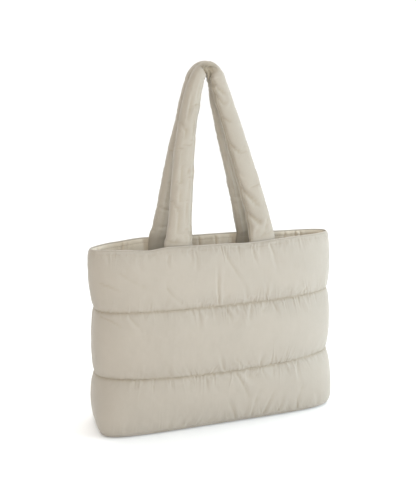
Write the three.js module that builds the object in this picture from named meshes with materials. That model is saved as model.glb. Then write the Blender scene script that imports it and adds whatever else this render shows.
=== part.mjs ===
// A puffer tote bag: two quilted, padded panels sewn together at the sides, a padded base and two padded
// carrying straps. Millimetres, +Z up, X along the width, -Y the front. The bag hangs from its straps: the
// origin is the point under the straps' bend, midway between the two, where a hook or a hand carries them.
import * as THREE from "three";

// Heights of the body, from the underside of the base
const bodyHeight = 300;
const upperSeamHeight = 205;
const lowerSeamHeight = 96;
const baseSeamHeight = 5;

// Plan sizes on the outside of the cloth, at the base seam, the two quilting seams and the rim
const baseWidth = 400;
const baseDepth = 107;
const bellyWidth = 402;
const bellyDepth = 124;
const shoulderWidth = 394;
const shoulderDepth = 104;
const rimWidth = 399;
const rimShift = -1.5;
const mouthDepth = 70;

// Cloth and padding
const wallThickness = 3.4;
const rimRoundover = 1.2;
const puffHeight = 9;
const sideTaperLength = 34;
const rimWave = 3.5;
const foldWidth = 13;
const seamGap = 0.3;

// Base
const baseThickness = 9;
const baseEdgeThickness = 2.6;
const baseFlatInset = 15;
const baseLedge = 8;

// Straps
const strapWidth = 45;
const strapThickness = 18;
const strapSewnThickness = 4.5;
const strapSewnLength = 34;
const strapRise = 267;
const frontStrapSpacing = 138;
const backStrapSpacing = 150;
const strapClearance = 1;
const frontStrapShift = 3;
const backStrapShift = -5.5;
const bendShift = -13.5;

// Mesh steps
const columns = 40;
const puffSteps = 6;
const strapSides = 10;
const strapSteps = 44;
const outlineSamples = 720;

const cloth = { color: 0xc9c1b3, roughness: 0.72, metalness: 0 };

// The four levels that a panel runs through. squareness is 2 for an ellipse and more for a boxed corner, and
// shift is the level's place along X.
const levels = [
  { height: baseSeamHeight, width: baseWidth, depth: baseDepth, squareness: 5.4, shift: 0 },
  { height: lowerSeamHeight, width: bellyWidth, depth: bellyDepth, squareness: 2.2, shift: 0 },
  { height: upperSeamHeight, width: shoulderWidth, depth: shoulderDepth, squareness: 2.5, shift: 0 },
  { height: bodyHeight, width: rimWidth, depth: mouthDepth, squareness: 2.1, shift: rimShift },
];

// How full each puff is at its middle and at the side seams, as shares of puffHeight, from the base up
const puffs = [
  { middle: 1.0, side: 0.8 },
  { middle: 1.0, side: 0.5 },
  { middle: 0.85, side: 0.6 },
];

// The rim's rises and dips, as shares of rimWave, with across running from the left side seam to the right
const rimLine = [
  { across: 0, front: 0.1, back: 0.1 },
  { across: 0.12, front: 0.1, back: 0.7 },
  { across: 0.22, front: -0.6, back: 1.2 },
  { across: 0.31, front: 0.5, back: 0.8 },
  { across: 0.48, front: 0.2, back: 0.1 },
  { across: 0.62, front: -0.4, back: 0 },
  { across: 0.8, front: 0.2, back: -0.5 },
  { across: 1, front: 0, back: 0 },
];

// The main folds. Each runs from a seam into a puff: reach is a share of the puff's height, negative from the
// seam above it, and depth is the share of the padding that it takes away.
const folds = [
  { across: 0.06, puff: 2, reach: 0.6, depth: 0.35 },
  { across: 0.3, puff: 2, reach: 0.35, depth: 0.3 },
  { across: 0.53, puff: 2, reach: 0.9, depth: 0.35 },
  { across: 0.62, puff: 2, reach: 0.4, depth: 0.3 },
  { across: 0.7, puff: 2, reach: 0.7, depth: 0.3 },
  { across: 0.06, puff: 1, reach: -0.35, depth: 0.3 },
  { across: 0.4, puff: 1, reach: -0.35, depth: 0.3 },
  { across: 0.6, puff: 1, reach: -0.4, depth: 0.35 },
  { across: 0.55, puff: 1, reach: 0.3, depth: 0.25 },
  { across: 0.66, puff: 0, reach: 0.5, depth: 0.35 },
  { across: 0.76, puff: 0, reach: 0.55, depth: 0.4 },
  { across: 0.58, puff: 0, reach: -0.45, depth: 0.3 },
];

// Half of a strap above the rim, up to the top of the bend: rise is a share of strapRise, front and back are
// the two straps' spreads as shares of their spacings, lean is the share of the way over to the bend's own
// place along X, and width and thickness are shares of strapWidth and strapThickness.
const strapHalf = [
  { rise: 0.02, front: 1, back: 0.99, lean: 0.02, width: 0.98, thickness: 0.26 },
  { rise: 0.045, front: 0.98, back: 0.96, lean: 0.05, width: 0.94, thickness: 0.5 },
  { rise: 0.1, front: 0.95, back: 0.91, lean: 0.12, width: 0.88, thickness: 0.86 },
  { rise: 0.2, front: 0.89, back: 0.83, lean: 0.24, width: 0.82, thickness: 0.97 },
  { rise: 0.35, front: 0.785, back: 0.71, lean: 0.47, width: 0.78, thickness: 1 },
  { rise: 0.5, front: 0.665, back: 0.59, lean: 0.72, width: 0.73, thickness: 1 },
  { rise: 0.65, front: 0.54, back: 0.46, lean: 0.93, width: 0.66, thickness: 1 },
  { rise: 0.8, front: 0.39, back: 0.34, lean: 1.08, width: 0.6, thickness: 1 },
  { rise: 0.91, front: 0.27, back: 0.25, lean: 1.12, width: 0.53, thickness: 1 },
  { rise: 0.975, front: 0.17, back: 0.16, lean: 1.06, width: 0.46, thickness: 1 },
  { rise: 1, front: 0, back: 0, lean: 1, width: 0.44, thickness: 1 },
];

// The height under the bend of the straps, where the bag is carried
const carryHeight = bodyHeight + strapRise - (strapHalf.at(-1).width * strapWidth) / 2;

// Points along the front half of a level's boxed oval, evenly spaced from its left end to its right one
function halfOutline(level, inset, places) {
  const halfWidth = level.width / 2 - inset;
  const halfDepth = level.depth / 2 - inset;
  const boxed = level.squareness;
  const walked = [];
  let length = 0;
  for (let i = 0; i <= outlineSamples; i++) {
    const angle = (Math.PI * i) / outlineSamples;
    const along = -Math.cos(angle);
    const out = Math.sin(angle);
    const reach = Math.pow(
      Math.pow(Math.abs(along) / halfWidth, boxed) + Math.pow(out / halfDepth, boxed),
      -1 / boxed,
    );
    const point = new THREE.Vector2(along * reach + level.shift, -out * reach);
    if (i > 0) length += point.distanceTo(walked[i - 1].point);
    walked.push({ point, length });
  }
  return places.map((place) => {
    const wanted = place * length;
    let i = 1;
    while (i < outlineSamples && walked[i].length < wanted) i++;
    const before = walked[i - 1];
    const after = walked[i];
    const share = (wanted - before.length) / (after.length - before.length);
    return before.point.clone().lerp(after.point, THREE.MathUtils.clamp(share, 0, 1));
  });
}

// Each outline point's direction out of the bag in plan. The ends point straight along X, on the side seams.
function outwards(points) {
  return points.map((point, i) => {
    if (i === 0) return new THREE.Vector2(-1, 0);
    if (i === points.length - 1) return new THREE.Vector2(1, 0);
    const along = points[i + 1].clone().sub(points[i - 1]).normalize();
    return new THREE.Vector2(along.y, -along.x);
  });
}

// A value from a table, between the rows on either side of a place
function fromTable(table, key, place, name) {
  let i = 1;
  while (i < table.length - 1 && table[i][key] < place) i++;
  const low = table[i - 1];
  const high = table[i];
  const share = THREE.MathUtils.clamp((place - low[key]) / (high[key] - low[key]), 0, 1);
  return low[name] + (high[name] - low[name]) * THREE.MathUtils.smoothstep(share, 0, 1);
}

// A closed solid through a row of loops with the same even number of points. The first and last loops are
// closed by a ladder, whose rungs join each point to the one that mirrors it round the loop.
function sweptSolid(loops) {
  const size = loops[0].length;
  const positions = loops.flatMap((loop) => loop.flatMap((p) => [p.x, p.y, p.z]));
  const faces = [];
  for (let i = 0; i < loops.length - 1; i++) {
    for (let j = 0; j < size; j++) {
      const a = i * size + j;
      const b = i * size + ((j + 1) % size);
      faces.push([a, b, b + size], [a, b + size, a + size]);
    }
  }
  const last = (loops.length - 1) * size;
  for (let j = 0; j < size / 2 - 1; j++) {
    const [a, b, c, d] = [j, j + 1, size - 2 - j, size - 1 - j];
    faces.push([a, c, b], [a, d, c]);
    faces.push([last + a, last + b, last + c], [last + a, last + c, last + d]);
  }
  const corner = (i) => new THREE.Vector3(...positions.slice(3 * i, 3 * i + 3));
  const volume = faces.reduce((sum, [a, b, c]) => sum + corner(a).dot(corner(b).cross(corner(c))), 0);
  const index = faces.flatMap(([a, b, c]) => (volume > 0 ? [a, b, c] : [a, c, b]));
  const geometry = new THREE.BufferGeometry();
  geometry.setAttribute("position", new THREE.Float32BufferAttribute(positions, 3));
  geometry.setIndex(index);
  geometry.computeVertexNormals();
  return geometry;
}

function piece(name, geometry) {
  const mesh = new THREE.Mesh(geometry, new THREE.MeshStandardMaterial(cloth));
  mesh.name = name;
  return mesh;
}

const panelPlaces = Array.from({ length: columns + 1 }, (_, i) => i / columns);
const outerOutlines = levels.map((level) => halfOutline(level, 0, panelPlaces));
const innerOutlines = levels.map((level) => halfOutline(level, wallThickness, panelPlaces));
const outwardAt = outerOutlines.map(outwards);
const panelLength = (shoulderWidth + shoulderDepth) * 0.9;

// How far the padding stands out of the quilting surface, a share of a puff up and of the panel across
function padding(puff, up, across) {
  const fromSide = Math.min(across, 1 - across) * panelLength;
  const taper = THREE.MathUtils.smoothstep(fromSide, 0, sideTaperLength);
  const fullness = puffs[puff].side + (puffs[puff].middle - puffs[puff].side) * taper;
  let taken = 0;
  for (const fold of folds.filter((f) => f.puff === puff)) {
    const aside = ((across - fold.across) * panelLength) / foldWidth;
    const fromSeam = fold.reach > 0 ? up : 1 - up;
    const fade = Math.max(0, 1 - fromSeam / Math.abs(fold.reach));
    taken = Math.max(taken, fold.depth * Math.exp(-aside * aside) * fade);
  }
  const arch = Math.pow(Math.sin(Math.PI * THREE.MathUtils.clamp(turnOf(up), 0, 1)), 1.1);
  return puffHeight * fullness * arch * (1 - taken);
}

// A puff's rows stand closer together near its seams. stepUp gives a row's height as a share of the puff, and
// turnOf gives back how far round the arch that height is.
function stepUp(step) {
  return (1 - Math.cos((Math.PI * step) / puffSteps)) / 2;
}

function turnOf(up) {
  return Math.acos(1 - 2 * THREE.MathUtils.clamp(up, 0, 1)) / Math.PI;
}

function rimRise(side, across) {
  return rimWave * fromTable(rimLine, "across", across, side);
}

// A quilted panel: a closed loop round the wall at each column, from one side seam to the other. The outside
// carries the puffs and the lined inside is smooth.
function quiltedPanel(side) {
  const facing = side === "front" ? 1 : -1;
  const place = (point, height) =>
    new THREE.Vector3(point.x, facing * (point.y - seamGap / 2), height);
  const loops = panelPlaces.map((across, column) => {
    const outside = [];
    const inside = [];
    levels.slice(1).forEach((top, puff) => {
      const bottom = levels[puff];
      const topHeight = top.height + (puff === 2 ? rimRise(side, across) - rimRoundover : 0);
      for (let step = puff === 0 ? 0 : 1; step <= puffSteps; step++) {
        const up = stepUp(step);
        const height = bottom.height + (topHeight - bottom.height) * up;
        const outward = outwardAt[puff][column].clone().lerp(outwardAt[puff + 1][column], up).normalize();
        const skin = outerOutlines[puff][column].clone().lerp(outerOutlines[puff + 1][column], up);
        const lining = innerOutlines[puff][column].clone().lerp(innerOutlines[puff + 1][column], up);
        skin.addScaledVector(outward, padding(puff, up, across));
        outside.push(place(skin, height));
        inside.push(place(lining, height));
      }
    });
    const ridge = bodyHeight + rimRise(side, across);
    const skin = outerOutlines[3][column];
    const lining = innerOutlines[3][column];
    const ridgeOut = place(skin.clone().lerp(lining, 0.3), ridge);
    const ridgeIn = place(skin.clone().lerp(lining, 0.7), ridge);
    return [...outside, ridgeOut, ridgeIn, ...inside.reverse()];
  });
  return piece(`${side}_panel`, sweptSolid(loops));
}

// The base: thin where it is sewn under the panels' lower edges, padded and flat in the middle.
function basePanel() {
  const places = Array.from({ length: columns }, (_, i) => (i + 0.5) / columns);
  const top = baseSeamHeight - seamGap;
  const ring = (inset, height) => {
    const half = halfOutline(levels[0], inset, places);
    const front = half.map((p) => new THREE.Vector3(p.x, p.y, height));
    const back = half.map((p) => new THREE.Vector3(p.x, -p.y, height));
    return [...front, ...back.reverse()];
  };
  const rings = [
    ring(baseFlatInset + baseLedge, baseThickness),
    ring(baseLedge, top),
    ring(0, top),
    ring(0, top - baseEdgeThickness),
    ring(baseFlatInset, 0),
  ];
  return piece("base_panel", sweptSolid(rings));
}

// Distance from the bag's middle plane to the lined inside of a panel, at a place along X and a height
// between the upper quilting seam and the rim
function liningDepth(side, x, height) {
  const line = panelPlaces.map((across, i) => {
    const topHeight = bodyHeight + rimRise(side, across) - rimRoundover;
    const up = THREE.MathUtils.clamp((height - upperSeamHeight) / (topHeight - upperSeamHeight), 0, 1);
    return innerOutlines[2][i].clone().lerp(innerOutlines[3][i], up);
  });
  let i = 1;
  while (i < line.length - 1 && line[i].x < x) i++;
  const share = (x - line[i - 1].x) / (line[i].x - line[i - 1].x);
  return -THREE.MathUtils.lerp(line[i - 1].y, line[i].y, share) + seamGap / 2;
}

// A padded strap: flat ends sewn to the lining below the rim, then a soft tube that narrows to its bend
function carryingStrap(side) {
  const facing = side === "front" ? -1 : 1;
  const shift = side === "front" ? frontStrapShift : backStrapShift;
  const spacing = side === "front" ? frontStrapSpacing : backStrapSpacing;
  const topDepth = (strapThickness + strapClearance) / 2;
  const sewnRows = [-1, -0.55, -0.1].map((share) => ({
    height: bodyHeight + share * strapSewnLength,
    front: 1,
    back: 1,
    lean: 0,
    width: 1,
    thickness: strapSewnThickness / strapThickness,
  }));
  const freeRows = strapHalf.map((row) => ({ ...row, height: bodyHeight + row.rise * strapRise }));
  const half = [...sewnRows, ...freeRows];
  const rows = [
    ...half.map((row) => ({ ...row, leg: -1 })),
    ...half.slice(0, -1).reverse().map((row) => ({ ...row, leg: 1 })),
  ];
  const middle = [];
  const sizes = [];
  for (const row of rows) {
    const rise = Math.max(0, (row.height - bodyHeight) / strapRise);
    const footX = shift + (row.leg * spacing) / 2;
    const x = shift + (bendShift - shift) * row.lean + (row.leg * row[side] * spacing) / 2;
    const foot = liningDepth(side, footX, row.height) - seamGap - strapSewnThickness / 2;
    middle.push(new THREE.Vector3(x, facing * (foot + (topDepth - foot) * rise), row.height));
    sizes.push(new THREE.Vector3(row.width * strapWidth, row.thickness * strapThickness, 0));
  }
  const path = new THREE.CatmullRomCurve3(middle, false, "catmullrom", 0.5);
  const size = new THREE.CatmullRomCurve3(sizes, false, "catmullrom", 0.5);
  const loops = [];
  for (let step = 0; step <= strapSteps; step++) {
    const share = step / strapSteps;
    const centre = path.getPoint(share);
    const along = path.getTangent(share);
    const sideways = new THREE.Vector3(along.z, 0, -along.x).normalize();
    const { x: width, y: thickness } = size.getPoint(share);
    loops.push(strapLoop(side, centre, sideways, width, thickness));
  }
  return piece(`${side}_strap`, sweptSolid(loops));
}

// One cross-section of a strap. Below the rim it bends to the curve of the lining that it is sewn to.
function strapLoop(side, centre, sideways, width, thickness) {
  const facing = side === "front" ? -1 : 1;
  const middleDepth = liningDepth(side, centre.x, centre.z);
  const sewn = 1 - THREE.MathUtils.smoothstep(centre.z, bodyHeight, bodyHeight + strapSewnLength);
  const boxed = (value) => Math.sign(value) * Math.sqrt(Math.abs(value));
  return Array.from({ length: strapSides }, (_, i) => {
    const angle = (2 * Math.PI * (i + 0.5)) / strapSides;
    const point = centre.clone().addScaledVector(sideways, (width / 2) * boxed(Math.cos(angle)));
    point.y += (thickness / 2) * boxed(Math.sin(angle));
    point.y += facing * sewn * (liningDepth(side, point.x, point.z) - middleDepth);
    return point;
  });
}

const bag = new THREE.Group();
bag.add(quiltedPanel("front"), quiltedPanel("back"), basePanel());
bag.add(carryingStrap("front"), carryingStrap("back"));
bag.position.set(-bendShift, 0, -carryHeight);

const part = new THREE.Group();
part.add(bag);

export default part;
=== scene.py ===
import math

import bmesh
import bpy
import numpy as np
from mathutils import Matrix, Vector, kdtree, noise


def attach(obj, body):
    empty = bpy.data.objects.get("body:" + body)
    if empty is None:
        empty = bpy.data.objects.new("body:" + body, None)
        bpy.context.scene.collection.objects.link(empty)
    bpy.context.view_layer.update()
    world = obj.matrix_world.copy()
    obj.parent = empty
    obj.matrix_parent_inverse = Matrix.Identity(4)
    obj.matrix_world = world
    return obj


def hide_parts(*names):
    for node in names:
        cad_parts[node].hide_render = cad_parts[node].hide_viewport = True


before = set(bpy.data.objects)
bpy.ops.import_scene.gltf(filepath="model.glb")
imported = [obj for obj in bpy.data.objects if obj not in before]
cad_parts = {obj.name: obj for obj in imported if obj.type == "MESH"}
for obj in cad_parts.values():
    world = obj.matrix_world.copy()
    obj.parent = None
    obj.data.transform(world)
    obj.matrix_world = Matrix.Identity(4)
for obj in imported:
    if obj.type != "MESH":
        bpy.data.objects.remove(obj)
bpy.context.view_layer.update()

print("frame loaded:", ", ".join(sorted(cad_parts)))

# The bag's own sizes in metres, heights counted from the underside of the base. The frame's origin is the point
# under the bend of the straps, so toFrame() moves every finished piece there.
bag = {
    "carryHeight": 0.5571,
    "bendShift": -0.0135,
    "wallThickness": 0.0034,
    "seamGap": 0.0003,
    "rimWave": 0.0035,
    "rimRoundover": 0.0012,
    "panelLength": 0.4482,
    "rimStitchDrop": 0.0052,     # how far below the rim its topstitching is, outside
    "hemStitchDrop": 0.0068,     # and inside
    "strapFeet": {"front": (0.003, 0.138), "back": (-0.0055, 0.150)},     # their middle and spacing along X
    "levels": [
        {"height": 0.005, "width": 0.400, "depth": 0.107, "boxed": 5.4, "shift": 0},
        {"height": 0.096, "width": 0.402, "depth": 0.124, "boxed": 2.2, "shift": 0},
        {"height": 0.205, "width": 0.394, "depth": 0.104, "boxed": 2.5, "shift": 0},
        {"height": 0.300, "width": 0.399, "depth": 0.070, "boxed": 2.1, "shift": -0.0015},
    ],
    "rimLine": [
        # across, front, back
        (0, 0.1, 0.1), (0.12, 0.1, 0.7), (0.22, -0.6, 1.2), (0.31, 0.5, 0.8),
        (0.48, 0.2, 0.1), (0.62, -0.4, 0), (0.8, 0.2, -0.5), (1, 0, 0),
    ],
}
mirror = {"front": 1, "back": -1}     # each side is worked out as the front, and the back is mirrored


def toFrame(points):
    return np.asarray(points) + np.array([-bag["bendShift"], 0, -bag["carryHeight"]])


# Camera at the photo's angle, a pale floor, a cool lamp from the right and a warmer one beside the camera
view = {
    "camera": (-0.34316, -1.10158, 0.05334),
    "target": (0.00289, 0, -0.27336),
    "lens": 53.97,
    "floorDrop": 0.0006,
    "floorSize": 40,
    "floorColor": (0.98, 0.98, 0.98),
    "skyAround": (0.12, 0.117, 0.108),
    "glows": [
        # light added to the sky: its colour, the way to it, and where it starts and reaches its full strength
        ((1.02, 1.02, 1.02), (0.27, 0.96, 0), (-0.15, 0.6)),     # a bright wall behind the bag
        ((0.98, 0.965, 0.94), (0, 0, 1), (0.4, 0.85)),     # a broad soft box overhead
    ],
    "lampTarget": (0, 0, -0.35),
    "lamps": [
        {"name": "keyLamp", "at": (2.1, -1.0, 0.45), "size": 1.3, "power": 46, "color": (0.74, 0.89, 1)},
        {"name": "fillLamp", "at": (-0.55, -1.75, 0.38), "size": 1.0, "power": 14.2, "color": (1, 0.965, 0.91)},
    ],
}


def addObject(name, data):
    thing = bpy.data.objects.new(name, data)
    bpy.context.scene.collection.objects.link(thing)
    return thing


def toMesh(name, bm):
    mesh = bpy.data.meshes.new(name)
    bm.to_mesh(mesh)
    bm.free()
    return mesh


def newPaint(name):
    paint = bpy.data.materials.new(name)
    paint.use_nodes = True
    return paint, paint.node_tree, paint.node_tree.nodes["Principled BSDF"]


def addNode(tree, kind, inputs=None, **settings):
    node = tree.nodes.new(kind)
    for key, value in settings.items():
        setattr(node, key, value)
    for key, value in (inputs or {}).items():
        if isinstance(value, bpy.types.NodeSocket):
            tree.links.new(value, node.inputs[key])
        else:
            node.inputs[key].default_value = value
    return node


def mapped(tree, value, source, result, **settings):
    # a value that runs over one range, carried to another
    return addNode(tree, "ShaderNodeMapRange", {
        "Value": value, "From Min": source[0], "From Max": source[1],
        "To Min": result[0], "To Max": result[1]}, **settings).outputs["Result"]


def scaled(tree, vector, scale):
    return addNode(tree, "ShaderNodeVectorMath", {0: vector, "Scale": scale}, operation="SCALE").outputs[0]


def added(tree, a, b):
    return addNode(tree, "ShaderNodeVectorMath", {0: a, 1: b}, operation="ADD").outputs[0]


def times(tree, a, b):
    return addNode(tree, "ShaderNodeMath", {0: a, 1: b}, operation="MULTIPLY").outputs[0]


def aimAt(thing, target):
    direction = Vector(target) - thing.location
    thing.rotation_euler = direction.to_track_quat("-Z", "Y").to_euler()


def buildView():
    cameraData = bpy.data.cameras.new("camera")
    cameraData.lens = view["lens"]
    cameraData.sensor_width = 36
    camera = addObject("camera", cameraData)
    camera.location = view["camera"]
    aimAt(camera, view["target"])
    bpy.context.scene.camera = camera

    for lamp in view["lamps"]:
        data = bpy.data.lights.new(lamp["name"], "AREA")
        data.size = lamp["size"]
        data.energy = lamp["power"]
        data.color = lamp["color"]
        light = addObject(lamp["name"], data)
        light.location = lamp["at"]
        aimAt(light, view["lampTarget"])

    world = bpy.data.worlds.new("sky")
    world.use_nodes = True
    tree = world.node_tree
    toward = addNode(tree, "ShaderNodeTexCoord").outputs["Generated"]
    sky = view["skyAround"]
    for color, side, grows in view["glows"]:
        facing = addNode(tree, "ShaderNodeVectorMath", {0: toward, 1: side}, operation="DOT_PRODUCT")
        share = mapped(tree, facing.outputs["Value"], grows, (0, 1), interpolation_type="SMOOTHSTEP")
        sky = added(tree, sky, scaled(tree, color, share))
    tree.links.new(sky, tree.nodes["Background"].inputs["Color"])
    bpy.context.scene.world = world

    bm = bmesh.new()
    bmesh.ops.create_grid(bm, x_segments=1, y_segments=1, size=view["floorSize"] / 2)
    bmesh.ops.translate(bm, vec=(0, 0, -bag["carryHeight"] - view["floorDrop"]), verts=bm.verts)
    floor = addObject("floor", toMesh("floor", bm))
    paint, _, shader = newPaint("floorPaint")
    shader.inputs["Base Color"].default_value = (*view["floorColor"], 1)
    shader.inputs["Roughness"].default_value = 0.9
    floor.data.materials.append(paint)
    bpy.context.scene.view_settings.view_transform = "Standard"
    bpy.context.scene.view_settings.look = "None"
    print("camera, lamps and floor are set")


buildView()


# What the cloth is made of, and the shade and light painted on it. Colours are linear.
fabric = {
    "shellColor": (0.447, 0.400, 0.338),
    # painted light: the lining is the same cloth as the shell, given a much lighter colour so that the shaded
    # inside of the bag comes out brighter
    "liningLitColor": (0.79, 0.72, 0.605),
    "strapColor": (0.422, 0.375, 0.311),
    "threadColor": (0.42, 0.365, 0.295),
    "patchSize": 0.055,      # soft changes of colour over the cloth
    "patchDepth": 0.03,
    "hollowDepth": 0.16,     # painted shade: how much darker the creases are
    "hollowTint": (0.004, -0.004, -0.020),   # and how much warmer the painted crease shade is
    "gatherDepth": 0.06,     # painted shade: how much darker the cloth is beside a seam
    "ridgeLightDepth": 0.05,       # painted light: how much lighter the ridges are
    "weavePitch": 0.00045,
    "weaveHeight": 0.00004,
    "crinkleSize": 0.010,
    "crinkleHeight": 0.00032,
    "pleatSize": 0.006,
    "pleatHeight": 0.0008,
    "loosePleats": 0.06,     # how much of the fine pleats is left away from the seams
    "roughness": (0.58, 0.74),
}


def noiseOver(tree, place, size, detail, roughness=0.5, distortion=0, **settings):
    return addNode(tree, "ShaderNodeTexNoise", {
        "Vector": place, "Scale": 1 / size, "Detail": detail, "Roughness": roughness,
        "Distortion": distortion}, **settings).outputs["Fac"]


def bumped(tree, height, distance, strength, under=None):
    bump = addNode(tree, "ShaderNodeBump", {"Height": height, "Distance": distance, "Strength": strength})
    if under:
        tree.links.new(under, bump.inputs["Normal"])
    return bump.outputs["Normal"]


def clothPaint(name, color, stretch):
    # woven nylon: a fine plain weave, small crinkles, painted shade in the creases and beside the seams, and
    # painted light on the ridges. stretch sets which way the fine pleats beside the seams run.
    paint, tree, shader = newPaint(name)
    place = addNode(tree, "ShaderNodeTexCoord").outputs["Object"]
    flat = addNode(tree, "ShaderNodeUVMap", uv_map="clothUv").outputs["UV"]
    hollow = addNode(tree, "ShaderNodeAttribute", attribute_name="hollow").outputs["Fac"]
    gather = addNode(tree, "ShaderNodeAttribute", attribute_name="gather").outputs["Fac"]

    patches = noiseOver(tree, place, fabric["patchSize"], 3, 0.55)
    shade = mapped(tree, patches, (0.3, 0.7), (1 - fabric["patchDepth"], 1 + fabric["patchDepth"]))
    # painted shade in the creases and painted light on the ridges, from the hollow attribute
    creaseShadeRidgeLight = mapped(tree, hollow, (-1, 1), (1 + fabric["ridgeLightDepth"], 1 - fabric["hollowDepth"]), clamp=False)
    # painted shade beside the seams, from the gather attribute
    gathered = mapped(tree, gather, (0, 1), (1, 1 - fabric["gatherDepth"]))
    shade = times(tree, times(tree, shade, creaseShadeRidgeLight), gathered)
    # a warmer tint painted into the creases
    tint = added(tree, scaled(tree, color, shade), scaled(tree, fabric["hollowTint"], hollow))
    tree.links.new(tint, shader.inputs["Base Color"])

    threads = scaled(tree, flat, math.pi * 2 / fabric["weavePitch"])
    waves = addNode(tree, "ShaderNodeVectorMath", {0: threads}, operation="SINE").outputs[0]
    split = addNode(tree, "ShaderNodeSeparateXYZ", {0: waves})
    weave = times(tree, split.outputs[0], split.outputs[1])
    crinkle = noiseOver(tree, place, fabric["crinkleSize"], 4, 0.5, 0.5)
    drawn = addNode(tree, "ShaderNodeMapping", {"Vector": flat, "Scale": stretch}).outputs[0]
    pleat = noiseOver(tree, drawn, fabric["pleatSize"], 2, 0.45, 0.35, noise_type="RIDGED_MULTIFRACTAL")
    pleat = times(tree, pleat, mapped(tree, gather, (0, 1), (fabric["loosePleats"], 1)))
    normal = bumped(tree, pleat, fabric["pleatHeight"], 0.5)
    normal = bumped(tree, crinkle, fabric["crinkleHeight"], 1, normal)
    normal = bumped(tree, weave, fabric["weaveHeight"], 0.6, normal)
    tree.links.new(normal, shader.inputs["Normal"])

    rough = mapped(tree, crinkle, (0.3, 0.7), fabric["roughness"])
    tree.links.new(rough, shader.inputs["Roughness"])
    shader.inputs["Specular IOR Level"].default_value = 0.4
    shader.inputs["Sheen Weight"].default_value = 0.2
    shader.inputs["Sheen Roughness"].default_value = 0.45
    return paint


def threadPaint(name, color):
    paint, tree, shader = newPaint(name)
    place = addNode(tree, "ShaderNodeTexCoord").outputs["Object"]
    fibre = noiseOver(tree, place, 1 / 900, 2)
    tint = scaled(tree, color, mapped(tree, fibre, (0.3, 0.7), (0.85, 1.1)))
    tree.links.new(tint, shader.inputs["Base Color"])
    tree.links.new(bumped(tree, fibre, 0.0001, 0.5), shader.inputs["Normal"])
    shader.inputs["Roughness"].default_value = 0.6
    return paint


shellPaint = clothPaint("shellCloth", fabric["shellColor"], (1, 0.22, 1))
liningPaint = clothPaint("liningCloth", fabric["liningLitColor"], (1, 0.22, 1))
strapPaint = clothPaint("strapCloth", fabric["strapColor"], (0.3, 1, 1))
stitchPaint = threadPaint("stitchThread", fabric["threadColor"])
print("cloth and thread materials are made")


# Small helpers for shapes
def smoothStep(x, low, high):
    t = np.clip((np.asarray(x, float) - low) / (high - low), 0, 1)
    return t * t * (3 - 2 * t)


def bell(x, width):
    return np.exp(-(x / width) ** 2)


def wobble(points, size, seed):
    # soft noise from -1 to 1 that changes over about `size` metres, the same on every run
    points = np.asarray(points, float)
    offset = Vector((seed * 7.31, seed * 3.17, seed * 5.77))
    flat = points.reshape(-1, 3) / size
    return np.array([noise.noise(Vector(p) + offset) for p in flat]).reshape(points.shape[:-1])


def fromTable(table, place, column):
    # a value between the rows of a table, with soft ends
    places = [row[0] for row in table]
    values = [row[column] for row in table]
    at = np.clip(np.searchsorted(places, place) - 1, 0, len(table) - 2)
    low, high = np.take(places, at), np.take(places, at + 1)
    share = smoothStep(place, low, high)
    return np.take(values, at) * (1 - share) + np.take(values, at + 1) * share


def walkAlong(line):
    # how far along a line each of its points is
    return np.concatenate([[0], np.cumsum(np.linalg.norm(np.diff(line, axis=0), axis=1))])


def readAlong(line, marks, at):
    # a line's point at one mark, or its points at many
    return np.stack([np.interp(at, marks, line[:, k]) for k in range(line.shape[1])], -1)


def halfOutline(level, inset, places):
    # the front half of a level's boxed oval, evenly walked from its left end to its right one
    angles = np.linspace(0, math.pi, 2881)
    along, out = -np.cos(angles), np.abs(np.sin(angles))
    halfWidth, halfDepth = level["width"] / 2 - inset, level["depth"] / 2 - inset
    power = level["boxed"]
    reach = ((np.abs(along) / halfWidth) ** power + (out / halfDepth) ** power) ** (-1 / power)
    line = np.stack([along * reach + level["shift"], -out * reach], 1)
    walked = walkAlong(line)
    return readAlong(line, walked, np.asarray(places) * walked[-1])


def outwards(line):
    along = np.gradient(line, axis=0)
    out = np.stack([along[:, 1], -along[:, 0]], 1)
    out /= np.linalg.norm(out, axis=1, keepdims=True)
    out[0], out[-1] = (-1, 0), (1, 0)
    return out


def sideDistance(places):
    # how far each place across a panel is from the nearer side seam
    return np.minimum(places, 1 - places) * bag["panelLength"]


def rimRise(side, across):
    return bag["rimWave"] * fromTable(bag["rimLine"], across, 1 if side == "front" else 2)


def rimTop(side, places):
    return bag["levels"][3]["height"] + rimRise(side, places) - bag["rimRoundover"]


def sheetNormals(points):
    normals = np.cross(np.gradient(points, axis=1), np.gradient(points, axis=0))
    return normals / np.maximum(np.linalg.norm(normals, axis=2, keepdims=True), 1e-12)


def smoothSheet(values, rounds, wrap=False):
    for _ in range(rounds):
        for axis in (0, 1):
            before = np.roll(values, 1, axis)
            after = np.roll(values, -1, axis)
            if axis == 0 or not wrap:
                first = [slice(None)] * values.ndim
                last = [slice(None)] * values.ndim
                first[axis], last[axis] = 0, -1
                before[tuple(first)] = values[tuple(first)]
                after[tuple(last)] = values[tuple(last)]
            values = values * 0.5 + (before + after) * 0.25
    return values


def hollows(points, normals, depth, wrap=False):
    # from -1 on a ridge to 1 in a crease, for the material's painted light on ridges and painted shade in
    # creases
    apart = ((smoothSheet(points, 5, wrap) - points) * normals).sum(-1)
    return np.clip(apart / depth, -1, 1)


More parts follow.
